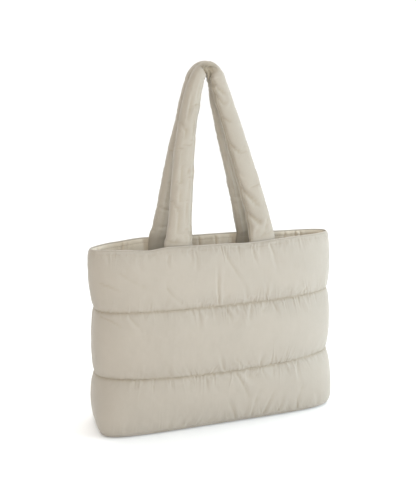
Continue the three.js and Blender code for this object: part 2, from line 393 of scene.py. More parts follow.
def gridMesh(points, uvs, values):
    # a sheet of quads through a table of points, rows by columns. values are the material's attributes.
    rows, cols = points.shape[:2]
    bm = bmesh.new()
    bmesh.ops.create_grid(bm, x_segments=cols - 1, y_segments=rows - 1, size=1)
    uvLayer = bm.loops.layers.uv.new("clothUv")
    layers = {key: bm.verts.layers.float.new(key) for key in values}
    where = [(round((v.co.y + 1) / 2 * (rows - 1)), round((v.co.x + 1) / 2 * (cols - 1))) for v in bm.verts]
    for face in bm.faces:
        for loop in face.loops:
            loop[uvLayer].uv = uvs[where[loop.vert.index]]
    for vert, spot in zip(bm.verts, where):
        vert.co = points[spot]
        for key, layer in layers.items():
            vert[layer] = values[key][spot]
    return bm, np.array(where)


def closeEnds(bm, method):
    ends = bmesh.ops.holes_fill(bm, edges=[e for e in bm.edges if e.is_boundary], sides=0)
    bmesh.ops.triangulate(bm, faces=ends["faces"], ngon_method=method)


def finishPiece(name, bm, material):
    bmesh.ops.recalc_face_normals(bm, faces=bm.faces)
    for face in bm.faces:
        face.smooth = True
    mesh = toMesh(name, bm)
    mesh.set_sharp_from_angle(angle=math.radians(55))
    mesh.materials.append(material)
    return addObject(name, mesh)


# Blender's cloth, as light nylon over loose wadding
clothFeel = {
    "frames": 15,
    "quality": 5,
    "mass": 0.02,
    "tension": 14,
    "compression": 14,
    "shear": 5,
    "bending": 0.03,
    "drag": 3,
}


def settleCloth(bm, held, extra, pressure, growth):
    # lets the cloth puff and crease. held are the sewn vertices, extra says from 0 to 1 where the cloth is
    # gathered, growth is how much longer gathered cloth is than the seam that it is sewn to.
    mesh = toMesh("trial", bm)
    count = len(mesh.vertices)
    before = np.empty(count * 3)
    mesh.vertices.foreach_get("co", before)
    before = before.reshape(-1, 3)
    skin = addObject("trial", mesh)
    heldGroup = skin.vertex_groups.new(name="held")
    heldGroup.add([int(i) for i in np.nonzero(held)[0]], 1, "REPLACE")
    tightGroup = skin.vertex_groups.new(name="tight")
    steps = np.round(np.clip(extra, 0, 1) * 20).astype(int)
    for step in range(20):
        tightGroup.add([int(i) for i in np.nonzero(steps == step)[0]], 1 - step / 20, "REPLACE")
    cloth = skin.modifiers.new("cloth", "CLOTH")
    feel = cloth.settings
    feel.quality = clothFeel["quality"]
    feel.mass = clothFeel["mass"]
    feel.air_damping = clothFeel["drag"]
    for way in ("tension", "compression", "shear", "bending"):
        setattr(feel, way + "_stiffness", clothFeel[way])
    feel.use_pressure = True
    feel.uniform_pressure_force = pressure
    feel.vertex_group_mass = "held"
    feel.vertex_group_shrink = "tight"
    feel.shrink_min = -growth
    feel.shrink_max = 0
    feel.effector_weights.gravity = 0
    cloth.collision_settings.use_collision = False
    cloth.point_cache.frame_start = 1
    cloth.point_cache.frame_end = clothFeel["frames"]
    scene = bpy.context.scene
    scene.frame_start, scene.frame_end = 1, clothFeel["frames"]
    for step in range(1, clothFeel["frames"] + 1):
        scene.frame_set(step)
    settled = skin.evaluated_get(bpy.context.evaluated_depsgraph_get()).data
    after = np.empty(count * 3)
    settled.vertices.foreach_get("co", after)
    bpy.data.objects.remove(skin)
    scene.frame_set(1)
    return before, after.reshape(-1, 3)


def capped(before, after, limit):
    move = after - before
    length = np.maximum(np.linalg.norm(move, axis=-1, keepdims=True), 1e-9)
    return before + move / length * limit * np.tanh(length / limit)


def keepSide(points, side, gap):
    # keeps a piece on its own side of the bag's middle plane
    limit = np.minimum if side == "front" else np.maximum
    points[..., 1] = limit(points[..., 1], -mirror[side] * gap)


# The quilted panels. A fold runs from one place on the cloth to another, as (share across, height in mm), is
# deepest at its start and fades out, and heaps cloth up on one side: ridge is 1 for its right, -1 for its left.
# A negative depth stands proud.
panel = {
    "columns": 440,
    "rows": (46, 54, 48),
    "trialColumns": 240,      # the cloth settles on a coarser sheet
    "trialRows": (30, 36, 32),
    "liningRows": 30,
    "puffHeight": 0.009,
    "middle": (1.0, 1.0, 0.85),
    "side": (0.8, 0.5, 0.6),
    "sideTaper": 0.034,
    "sideSeamDepth": 0.0016,
    "sideSeamWidth": 0.003,
    "meet": 0.00001,          # how near the two panels come at their side seams
    "seamSoftness": 0.0045,
    "seamShade": 0.0028,      # how wide the painted shade line in a seam is
    "gatherPitch": 0.0064,
    "gatherDepth": 0.0014,
    "gatherLength": 0.014,
    "gatherSlant": 0.55,
    "foldDepth": 0.46,
    "foldWidth": 0.75,
    "wobbleDepth": 0.0004,
    "hemDepth": 0.0001,
    "rollHeight": 0.0019,
    "seed": {"front": 3, "back": 41},
    "liningSeed": {"front": 17, "back": 23},
    "pressure": 0.8,
    "growth": 0.035,
    "settled": 0.62,          # how much of the settling is kept
    "cap": 0.0016,            # the farthest that settling moves a point
    # how gathered each panel is across its width, at the quilting seams
    "frontGather": [(0, 0.4), (0.12, 0.45), (0.3, 0.5), (0.4, 0.9), (0.55, 1), (0.76, 1), (0.9, 0.5), (1, 0.4)],
    "backGather": [(0, 0.45), (0.2, 0.8), (0.4, 1), (0.6, 0.7), (0.8, 0.9), (1, 0.45)],
    "frontFolds": [
        # from across and height, to across and height, depth mm, width mm, ridge
        (0.285, 242, 0.352, 212, 1.1, 4.5, 1), (0.16, 276, 0.34, 214, -1, 9, 0),
        (0.055, 254, 0.155, 232, 0.9, 4.5, 1), (0.115, 268, 0.235, 240, 0.7, 5, -1),
        (0.48, 209, 0.476, 282, 2, 4, 1), (0.52, 282, 0.605, 208, 1, 5, 1),
        (0.625, 292, 0.64, 255, 0.9, 4, 1), (0.7, 292, 0.715, 245, 0.9, 5, -1),
        (0.665, 209, 0.66, 240, 1.4, 4, 1), (0.82, 209, 0.845, 228, 0.8, 5, 1),
        (0.4, 292, 0.405, 262, 1, 4, -1), (0.3, 290, 0.295, 270, 1, 4, 1),
        (0.05, 200, 0.15, 180, 1.5, 5, 1), (0.15, 203, 0.205, 176, 1, 5, -1),
        (0.4, 203, 0.405, 168, 1.5, 5, 1), (0.505, 203, 0.52, 178, 1.2, 4, 1),
        (0.6, 203, 0.59, 165, 1.8, 5, -1), (0.69, 203, 0.7, 175, 1.3, 5, 1),
        (0.8, 203, 0.815, 172, 1.3, 6, 1), (0.497, 100, 0.466, 134, 1.5, 4.5, -1),
        (0.558, 100, 0.533, 126, 1.2, 4, -1), (0.635, 100, 0.64, 128, 1.3, 5, 1),
        (0.73, 100, 0.745, 130, 1.3, 5, 1), (0.3, 100, 0.285, 122, 1.2, 5, 1),
        (0.13, 100, 0.15, 118, 1, 5, 1), (0.538, 92, 0.594, 36, 2, 5, 1),
        (0.42, 92, 0.435, 66, 1.3, 5, 1), (0.3, 92, 0.31, 70, 1.1, 5, -1),
        (0.64, 92, 0.655, 66, 1.3, 4, 1), (0.79, 92, 0.775, 60, 1.5, 5, -1),
        (0.542, 6, 0.5, 58, 1.6, 5, 1), (0.592, 9, 0.632, 68, 1.8, 5, -1),
        (0.646, 9, 0.684, 63, 1.8, 5, 1), (0.698, 9, 0.722, 52, 1.6, 5, 1),
        (0.77, 9, 0.79, 58, 1.6, 6, 1), (0.86, 9, 0.85, 40, 1.2, 6, -1),
        (0.3, 9, 0.31, 34, 1, 6, 1), (0.16, 9, 0.15, 32, 1, 6, -1),
    ],
    "backFolds": [
        (0.22, 209, 0.25, 265, 1.7, 5, 1), (0.36, 292, 0.33, 240, 1.5, 5, -1),
        (0.51, 292, 0.5, 250, 1.5, 5, 1), (0.6, 209, 0.63, 250, 1.5, 5, -1),
        (0.76, 290, 0.7, 232, 1.7, 5, 1), (0.9, 209, 0.87, 240, 1.2, 5, 1),
        (0.12, 203, 0.15, 170, 1.4, 5, 1), (0.31, 203, 0.33, 160, 1.7, 5, -1),
        (0.47, 203, 0.45, 172, 1.4, 5, 1), (0.66, 203, 0.7, 165, 1.7, 5, 1),
        (0.84, 203, 0.83, 175, 1.2, 5, -1), (0.2, 100, 0.18, 130, 1.4, 5, 1),
        (0.42, 100, 0.45, 138, 1.6, 5, -1), (0.58, 100, 0.57, 124, 1.3, 5, 1),
        (0.77, 100, 0.74, 135, 1.6, 5, 1), (0.15, 92, 0.17, 60, 1.4, 5, -1),
        (0.35, 92, 0.38, 50, 1.7, 5, 1), (0.62, 92, 0.6, 62, 1.4, 5, 1),
        (0.82, 92, 0.84, 56, 1.4, 5, -1), (0.27, 9, 0.25, 50, 1.5, 6, 1),
        (0.46, 9, 0.48, 44, 1.4, 6, -1), (0.55, 9, 0.52, 36, 1.2, 5, 1),
        (0.73, 9, 0.71, 52, 1.6, 6, 1),
    ],
    # the lining's upright pleats: share across, how far below the rim they reach in mm, depth mm, width mm
    "frontPleats": [
        (0.1, 60, 1.2, 4), (0.22, 90, 1.4, 5), (0.5, 70, 1.4, 4), (0.62, 110, 1.2, 5), (0.83, 80, 1.5, 5),
    ],
    "backPleats": [
        (0.05, 50, 1.2, 3.5), (0.14, 60, 1.4, 3.5), (0.16, 36, 1, 2.5), (0.47, 60, 1.5, 3.5),
        (0.53, 50, 1.2, 3), (0.59, 70, 1, 4), (0.83, 60, 1.5, 3.5), (0.88, 50, 1.4, 3),
        (0.9, 42, 1.2, 3),
    ],
}


def foldDepths(folds, across, height):
    # how far the folds push the cloth in (negative) or heap it up (positive)
    total = np.zeros(np.broadcast(across, height).shape)
    for fromAcross, fromHeight, toAcross, toHeight, depth, width, ridge in folds:
        start = np.array([fromAcross * bag["panelLength"], fromHeight / 1000])
        run = np.array([toAcross * bag["panelLength"], toHeight / 1000]) - start
        length = np.linalg.norm(run)
        run /= length
        x, y = across * bag["panelLength"] - start[0], height - start[1]
        along = (x * run[0] + y * run[1]) / length
        bow = 0.0012 * np.sin(along * 5.1 + fromAcross * 40)
        aside = (x * run[1] - y * run[0]) * (1 if run[1] > 0 else -1) + bow
        reach = smoothStep(along, -0.12, 0.08) * (1 - smoothStep(along, 0.35, 1.08))
        wide = width / 1000 * panel["foldWidth"] * (0.75 + 0.5 * np.clip(along, 0, 1))
        dip = bell(aside, wide)
        heap = 0.55 * bell(aside - ridge * 1.9 * wide, 1.3 * wide) * abs(ridge)
        total += depth / 1000 * panel["foldDepth"] * reach * (heap - dip)
    return total


def gatherTable(seed):
    # one seam's gathers along the panel: how far on in its scallops, how deep, how long and how slanted each is
    run = np.linspace(-0.05, 0.5, 2201)
    line = np.stack([run, np.full_like(run, seed), np.zeros_like(run)], -1)
    drift = wobble(line, 0.016, seed) * 3 + wobble(line, 0.05, seed + 1) * 5
    turn = run * math.pi / panel["gatherPitch"] + drift
    deep = np.clip(0.5 + 1.3 * wobble(line, 0.009, seed + 2), 0.1, 1.2)
    reach = panel["gatherLength"] * (0.35 + 1.3 * np.clip(0.5 + 1.2 * wobble(line, 0.007, seed + 3), 0, 1))
    slant = panel["gatherSlant"] * (wobble(line, 0.035, seed + 4) * 1.6 + wobble(line, 0.012, seed + 5) * 0.7)
    return run, turn, deep, reach, slant


def gathers(table, run, away):
    # thin crests with wider dips between them, for a row that is this far away from their seam
    line, turn, deep, reach, slant = table
    moved = run + np.interp(run, line, slant) * np.minimum(away, 0.03)
    phase = np.interp(moved, line, turn)
    crest = (1 - np.abs(np.sin(phase))) ** 1.4 - 0.28
    second = np.abs(np.sin(phase * 0.53 + 1)) ** 0.8 - 0.62
    fade = np.exp(-(away / np.interp(moved, line, reach)) ** 1.5)
    return (crest + 0.45 * second) * np.interp(moved, line, deep) * fade


def wallRow(side, point, height):
    return np.stack([point[:, 0], mirror[side] * (point[:, 1] - bag["seamGap"] / 2), height], 1)


def panelSkin(side, columns, counts, fine):
    # the outside of a panel: its points, which rows are sewn, how gathered the cloth is (which also sets the
    # painted shade beside the seams) and how much shade is painted into the seams. fine adds the gathers.
    places = np.linspace(0, 1, columns + 1)
    outlines = [halfOutline(level, 0, places) for level in bag["levels"]]
    normals = [outwards(line) for line in outlines]
    seed = panel["seed"][side]
    run = places * bag["panelLength"]
    fromSide = sideDistance(places)
    taper = smoothStep(fromSide, 0, panel["sideTaper"])
    gatherAmount = fromTable(panel[side + "Gather"], places, 1)
    rows, sewn, gather, shade = [], [], [], []
    for puff, count in enumerate(counts):
        low, high = bag["levels"][puff]["height"], bag["levels"][puff + 1]["height"]
        t = np.linspace(0, 1, 4001)
        arch = (2 * np.sqrt(t * (1 - t))) ** 1.1
        walked = np.concatenate([[0], np.cumsum(np.hypot(
            np.diff(t) * (high - low), np.diff(arch) * panel["puffHeight"]))])
        # rows stand closer beside the seams
        even = np.linspace(0, 1, count + 1)
        ups = np.interp((even - 0.5 * np.sin(even * 2 * math.pi) / (2 * math.pi)) * walked[-1], walked, t)
        tables = [gatherTable(seed + puff * 13 + k * 6) for k in range(2)] if fine else []
        for step, up in enumerate(ups):
            if step == 0 and puff > 0:
                continue
            top = high + (rimRise(side, places) - bag["rimRoundover"] if puff == 2 else 0 * places)
            height = low + (top - low) * up
            skin = outlines[puff] * (1 - up) + outlines[puff + 1] * up
            out = normals[puff] * (1 - up) + normals[puff + 1] * up
            out /= np.linalg.norm(out, axis=1, keepdims=True)
            full = panel["side"][puff] + (panel["middle"][puff] - panel["side"][puff]) * taper
            arch = (2 * math.sqrt(max(up * (1 - up), 0))) ** 1.1
            pad = panel["puffHeight"] * full * arch
            spot = np.stack([run, np.full_like(places, seed * 0.11), height], 1)
            loose = np.minimum(1, pad / 0.0026)
            dents = foldDepths(panel[side + "Folds"], places, height)
            dents += panel["wobbleDepth"] * (wobble(spot, 0.026, seed) + 0.5 * wobble(spot, 0.011, seed + 9))
            # near says how gathered the cloth is beside a seam, which the material also paints as shade
            near = np.zeros_like(places)
            dark = np.zeros_like(places)
            for k, away in enumerate((up * (high - low), (1 - up) * (high - low))):
                quilted = 0 < puff + k < 3
                strength = 1 if quilted else 0.8
                near = np.maximum(near, math.exp(-(away / 0.018) ** 1.6) * strength * gatherAmount)
                if quilted:
                    pad = pad * (1 - 0.6 * math.exp(-away / panel["seamSoftness"]))
                if fine:
                    heaps = gathers(tables[k], run, away)
                    dents += panel["gatherDepth"] * strength * gatherAmount * heaps
                    # painted shade along the seam's groove, less on the crests of the gathers
                    line = quilted * bell(away, panel["seamShade"])
                    dark = np.maximum(dark, (1.2 - 1.2 * heaps) * line)
            pad = pad + dents * loose
            pad -= panel["sideSeamDepth"] * np.exp(-fromSide / panel["sideSeamWidth"])
            if puff == 2:
                pad -= panel["hemDepth"] * bell(top - height - bag["rimStitchDrop"], 0.0016)
            rows.append(wallRow(side, skin + out * pad[:, None], height))
            sewn.append(step in (0, count))
            gather.append(near)
            shade.append(dark)
    return np.array(rows), np.array(sewn), np.array(gather), np.array(shade), places


def panelLining(side, places):
    # the smooth inside of a panel from the rim down, with upright pleats and the hem's topstitched line
    seed = panel["liningSeed"][side]
    shift, spacing = bag["strapFeet"][side]
    outlines = [halfOutline(level, bag["wallThickness"], places) for level in bag["levels"]]
    normals = [outwards(line) for line in outlines]
    rim = rimTop(side, places)
    rows = []
    count = panel["liningRows"]
    hem, below = np.linspace(0, 0.012, 9)[:-1], np.linspace(0, 1, count - 8)
    drops = np.concatenate([hem, 0.012 + 0.283 * below ** 1.15])
    for drop in drops:
        height = np.maximum(rim - drop, bag["levels"][0]["height"])
        if drop == drops[-1]:
            height = np.full_like(places, bag["levels"][0]["height"])
        point = np.zeros((len(places), 2))
        out = np.zeros((len(places), 2))
        for puff in range(3):
            low = bag["levels"][puff]["height"]
            high = rim if puff == 2 else np.full_like(places, bag["levels"][puff + 1]["height"])
            inside = (height >= low) & ((height <= high) | (puff == 2))
            up = np.clip((height - low) / (high - low), 0, 1)[:, None]
            point[inside] = (outlines[puff] * (1 - up) + outlines[puff + 1] * up)[inside]
            out[inside] = (normals[puff] * (1 - up) + normals[puff + 1] * up)[inside]
        out /= np.linalg.norm(out, axis=1, keepdims=True)
        spot = np.stack([places * bag["panelLength"], np.full_like(places, seed), height], 1)
        # the lining may only stand in from its place, and lies flat under the ends of the straps
        standIn = 0.0006 * (1 + wobble(spot, 0.03, seed))
        standIn += 0.0003 * (1 + wobble(spot * (1.6, 1, 0.4), 0.012, seed))
        for across, reach, depth, width in panel[side + "Pleats"]:
            aside = (places - across) * bag["panelLength"] + 0.003 * math.sin(drop * 60 + across * 30)
            fade = 1 - smoothStep(drop, reach / 1000 * 0.3, reach / 1000)
            standIn -= depth / 1200 * fade * bell(aside, width / 2200)
            standIn += depth / 2000 * fade * bell(aside - width / 600, width / 900)
            standIn += depth / 3000 * fade * bell(aside + width / 600, width / 900)
        standIn *= smoothStep(drop, 0, 0.004)
        standIn -= 0.0004 * bell(drop - bag["hemStitchDrop"], 0.0014)
        for leg in (-1, 1):
            beside = np.abs(point[:, 0] - shift - leg * spacing / 2)
            bare = smoothStep(beside, 0.024, 0.032) if drop < 0.04 else np.ones_like(beside)
            standIn = np.where(standIn > 0, standIn * bare, standIn)
        standIn *= smoothStep(sideDistance(places), 0, 0.012)
        rows.append(wallRow(side, point - out * standIn[:, None], height))
    return np.array(rows)


def rimRoll(skin, lining, steps=5):
    # the rounded edge over the rim, from the outside to the lining
    rows = []
    for step in range(1, steps):
        turn = math.pi * step / steps
        row = skin * (1 + math.cos(turn)) / 2 + lining * (1 - math.cos(turn)) / 2
        rows.append(row + np.array([0, 0, panel["rollHeight"]]) * math.sin(turn))
    return np.array(rows)


def spread(table, counts, newCounts, columns):
    # carries a table of moves from the coarse sheet to the fine one, puff by puff
    places = np.linspace(0, 1, table.shape[1])
    newPlaces = np.linspace(0, 1, columns + 1)
    starts, newStarts = np.concatenate([[0], np.cumsum(counts)]), np.concatenate([[0], np.cumsum(newCounts)])
    at = np.interp(np.arange(newStarts[-1] + 1), newStarts, starts)
    low = np.minimum(at.astype(int), len(table) - 2)
    share = (at - low)[:, None, None]
    tall = table[low] * (1 - share) + table[low + 1] * share
    return np.stack([readAlong(row, places, newPlaces) for row in tall])


def settledMoves(side):
    # how the cloth of a panel moves as it settles between its seams
    skin, sewn, gather, _, _ = panelSkin(side, panel["trialColumns"], panel["trialRows"], False)
    rows, cols = skin.shape[:2]
    bm, where = gridMesh(skin, np.zeros((rows, cols, 2)), {})
    held = sewn[where[:, 0]] | (where[:, 1] == 0) | (where[:, 1] == cols - 1)
    bmesh.ops.recalc_face_normals(bm, faces=bm.faces)
    belly = Vector((0, -0.06 * mirror[side], 0.15))
    middle = min(bm.faces, key=lambda face: (face.calc_center_median() - belly).length)
    if middle.normal.dot(belly - Vector((0, 0, 0.15))) < 0:
        bmesh.ops.reverse_faces(bm, faces=bm.faces)
    extra = (0.12 + 0.88 * gather)[where[:, 0], where[:, 1]]
    before, after = settleCloth(bm, held, extra, panel["pressure"], panel["growth"])
    moves = np.zeros_like(skin)
    moves[where[:, 0], where[:, 1]] = capped(before, after, panel["cap"] / panel["settled"]) - before
    return moves * panel["settled"] * (0.25 + 0.75 * np.minimum(1, gather * 1.6))[..., None]


def buildPanel(side):
    skin, _, gather, shade, places = panelSkin(side, panel["columns"], panel["rows"], True)
    rows, cols = skin.shape[:2]
    skin = skin + spread(settledMoves(side), panel["trialRows"], panel["rows"], panel["columns"])
    gap = bag["seamGap"] / 2
    keepSide(skin, side, gap)

    lining = panelLining(side, places)
    roll = rimRoll(skin[-1], lining[0])
    sheet = toFrame(np.concatenate([skin, roll, lining, skin[:1]]))
    # the two panels meet where they are sewn together at the sides
    fromSide = sideDistance(places)
    sheet[..., 1] += mirror[side] * (gap - panel["meet"]) * (1 - smoothStep(fromSide, 0, 0.006))
    # painted shade in the creases and the seams' grooves, painted light on the ridges, weaker on the rim roll
    # and the lining
    crease = hollows(sheet, sheetNormals(sheet) * mirror[side], 0.0004)
    crease[:rows] = np.maximum(crease[:rows], shade)
    crease[rows:] *= 0.4
    # the gather attribute also paints shade beside the seams
    near = np.concatenate([gather, np.repeat(gather[-1:] * 0, len(roll) + len(lining), 0), gather[:1]])
    uvs = np.stack(np.meshgrid(places * bag["panelLength"], walkAlong(sheet[:, cols // 2])), -1)
    bm, where = gridMesh(sheet, uvs, {"hollow": crease, "gather": near})
    bm.verts.ensure_lookup_table()
    firstLining = rows + len(roll)
    for face in bm.faces:
        steps = [where[vert.index, 0] for vert in face.verts]
        face.material_index = 1 if min(steps) >= firstLining and max(steps) < len(sheet) - 1 else 0
    edgeVerts = [bm.verts[i] for i in np.nonzero((where[:, 0] == 0) | (where[:, 0] == len(sheet) - 1))[0]]
    bmesh.ops.remove_doubles(bm, verts=edgeVerts, dist=1e-6)
    closeEnds(bm, "EAR_CLIP")
    piece = finishPiece(side + "Panel", bm, shellPaint)
    piece.data.materials.append(liningPaint)
    return piece, {"skin": toFrame(skin), "lining": toFrame(lining), "places": places}


frontPanel, frontCloth = buildPanel("front")
print("front panel is sewn and settled")
backPanel, backCloth = buildPanel("back")
print("back panel is sewn and settled")


# The padded base: thin where it is sewn under the panels, flat and padded in the middle
base = {
    "columns": 120,
    "rows": 48,
    "top": 0.0047,
    "edge": 0.0021,
    "thickness": 0.009,
    "flatInset": 0.015,
    "ledge": 0.008,
    "wrinkle": 0.0006,
}


def buildBase():
    level = bag["levels"][0]
    u, v = np.meshgrid(np.linspace(-1, 1, base["columns"] + 1), np.linspace(-1, 1, base["rows"] + 1))
    ring = np.maximum(np.abs(u), np.abs(v))
    power = level["boxed"]
    halfWidth, halfDepth = level["width"] / 2, level["depth"] / 2
    stretch = ((np.abs(u) ** power + np.abs(v) ** power) ** (1 / power))
    squeeze = np.where(stretch > 1e-9, ring / np.maximum(stretch, 1e-9), 1)
    x, y = u * squeeze * halfWidth, v * squeeze * halfDepth
    inset = (1 - ring) * halfDepth
    spot = np.stack([x, y, np.zeros_like(x)], -1)
    wave = base["wrinkle"] * (wobble(spot, 0.03, 71) + 0.5 * wobble(spot, 0.012, 72))
    lower = base["edge"] * (1 - smoothStep(inset, 0, base["flatInset"])) ** 1.2
    lower = lower + np.abs(wave) * smoothStep(inset, 0.001, 0.012)
    upper = base["top"] + (base["thickness"] - base["top"]) * smoothStep(inset, base["ledge"], 0.026)
    upper = upper + wave * smoothStep(inset, base["ledge"], 0.03)
    uvs = np.stack([x, y], -1)
    under, over = toFrame(np.stack([x, y, lower], -1)), toFrame(np.stack([x, y, upper], -1))
    # painted shade in the base's wrinkles and along its sewn edge, painted light on the wrinkles' tops
    tone = {"hollow": np.clip(wave / 0.0008, -1, 1), "gather": 1 - smoothStep(inset, 0, 0.01)}
    bm, _ = gridMesh(under, uvs, tone)
    lid, _ = gridMesh(over, uvs, tone)
    lidMesh = toMesh("lid", lid)
    bm.from_mesh(lidMesh)
    bpy.data.meshes.remove(lidMesh)
    bmesh.ops.bridge_loops(bm, edges=[e for e in bm.edges if e.is_boundary])
    return finishPiece("basePanel", bm, shellPaint)


basePanel = buildBase()
print("base is made")


# The carrying straps: flat ends sewn to the lining, then a soft tube with one long seam.
# Each row of the shape is rise, front spread, back spread, lean, width and thickness.
strap = {
    "width": 0.045,
    "thickness": 0.018,
    "sewnThickness": 0.0045,
    "sewnLength": 0.034,
    "rise": 0.267,
    "clearance": 0.001,
    "apart": 0.0002,         # how far each strap stays from the bag's middle plane
    "girth": 0.105,
    "noiseRadius": 0.012,
    "steps": 330,
    "sides": 44,
    "boxed": 2.7,
    "seed": {"front": 51, "back": 63},
    "seamDepth": 0.0013,
    "topstitchDepth": 0.0009,
    "wrinkle": {"front": 0.0001, "back": 0.0004},     # small wrinkles across the strap
    "rumple": 0.0007,
    "channelDepth": 0.0009,
    "bendCrumple": 0.0016,
    "foldDepth": 0.0066,
    "foldCrumple": 0.0028,
    "creaseHalf": 17,        # half the strap's width in mm, for the creases
    "pressure": 0.8,
    "growth": 0.022,
    "cap": 0.0015,
    "frontSeam": 5.98,       # where the seam is round the section, as an angle
    "backSeam": 4.92,
    "topstitch": 0.42,       # how far round from the seam the stitches are
    "padIn": (0.25, 0.33, 0.46, 0.58, 0.72, 0.90),   # fuller ends, on the side towards the bag's inside
    "half": [
        (0.02, 1, 0.99, 0.02, 0.98, 0.26), (0.045, 0.98, 0.96, 0.05, 0.94, 0.5),
        (0.1, 0.95, 0.91, 0.12, 0.88, 0.86), (0.2, 0.89, 0.83, 0.24, 0.82, 0.97),
        (0.35, 0.785, 0.71, 0.47, 0.78, 1), (0.5, 0.665, 0.59, 0.72, 0.73, 1),
        (0.65, 0.54, 0.46, 0.93, 0.66, 1), (0.8, 0.39, 0.34, 1.08, 0.6, 1),
        (0.91, 0.27, 0.25, 1.12, 0.53, 1), (0.975, 0.17, 0.16, 1.06, 0.46, 1),
        (1, 0, 0, 1, 0.44, 1),
    ],
    # creases on the front faces of the legs: leg, from height and across, to height and across, depth, width.
    # Heights are in mm, as depth and width are, and across is from -1 to 1.
    "frontCreases": [
        (-1, 308, -1, 307, 1, 1, 2.5), (1, 308, -1, 307, 1, 1, 2.5),
        (1, 392, 0.9, 352, -0.3, 2.1, 3.5), (1, 352, 0.95, 320, -0.4, 2.1, 3.5),
        (1, 462, 0.95, 440, 0.1, 1.3, 3), (1, 420, 0.95, 404, 0.3, 1, 3),
        (1, 500, 0.9, 486, 0, 1, 3), (1, 549, 0.9, 526, -0.3, 1.8, 4),
        (1, 536, 0.95, 512, 0.2, 1.2, 3.5), (1, 333, -0.75, 303, 0.05, 1.5, 3.5),
        (1, 326, 0.1, 304, 0.75, 1.5, 3.5), (-1, 324, 0.15, 301, 0.8, 1.6, 3.5),
        (-1, 309, 0.98, 332, 0.3, 1.3, 3), (-1, 372, -0.9, 352, -0.1, 0.6, 3.5),
        (-1, 430, 0.9, 412, 0.2, 0.5, 3.5), (-1, 488, -0.9, 470, 0.1, 0.6, 3.5),
        (-1, 520, 0.9, 512, -0.2, 0.6, 3),
    ],
    "backCreases": [
        (-1, 325, 0.9, 318, -0.9, 0.9, 3), (-1, 352, -0.9, 346, 0.6, 0.9, 3),
        (-1, 398, 0.9, 390, -0.6, 0.9, 3), (-1, 455, -0.9, 449, 0.4, 0.9, 3),
        (1, 330, -0.9, 322, 0.7, 0.9, 3), (1, 368, 0.9, 360, -0.5, 1, 3),
        (1, 410, -0.9, 402, 0.5, 0.9, 3), (1, 470, 0.9, 463, -0.4, 1, 3),
    ],
}


def liningDepth(side, x, height):
    # how far the lined inside of a panel is from the bag's middle plane, near the rim
    places = np.linspace(0, 1, 161)
    low, high = [halfOutline(level, bag["wallThickness"], places) for level in bag["levels"][2:]]
    x, height = np.asarray(x, float), np.asarray(height, float)
    top = bag["levels"][3]["height"] - bag["rimRoundover"] + np.interp(
        x, high[:, 0], rimRise(side, places))
    up = np.clip((height - bag["levels"][2]["height"]) / (top - bag["levels"][2]["height"]), 0, 1)
    depth = (1 - up) * np.interp(x, low[:, 0], low[:, 1]) + up * np.interp(x, high[:, 0], high[:, 1])
    return -depth + bag["seamGap"] / 2


def splineThrough(points, shares):
    # an even Catmull-Rom spline through the rows
    points = np.asarray(points, float)
    points = np.concatenate([[2 * points[0] - points[1]], points, [2 * points[-1] - points[-2]]])
    t = np.asarray(shares) * (len(points) - 3)
    i = np.clip(np.floor(t).astype(int), 0, len(points) - 4)
    t = (t - i)[:, None]
    a, b, c, d = points[i], points[i + 1], points[i + 2], points[i + 3]
    return 0.5 * (2 * b + (c - a) * t + (2 * a - 5 * b + 4 * c - d) * t ** 2 + (3 * b - a - 3 * c + d) * t ** 3)


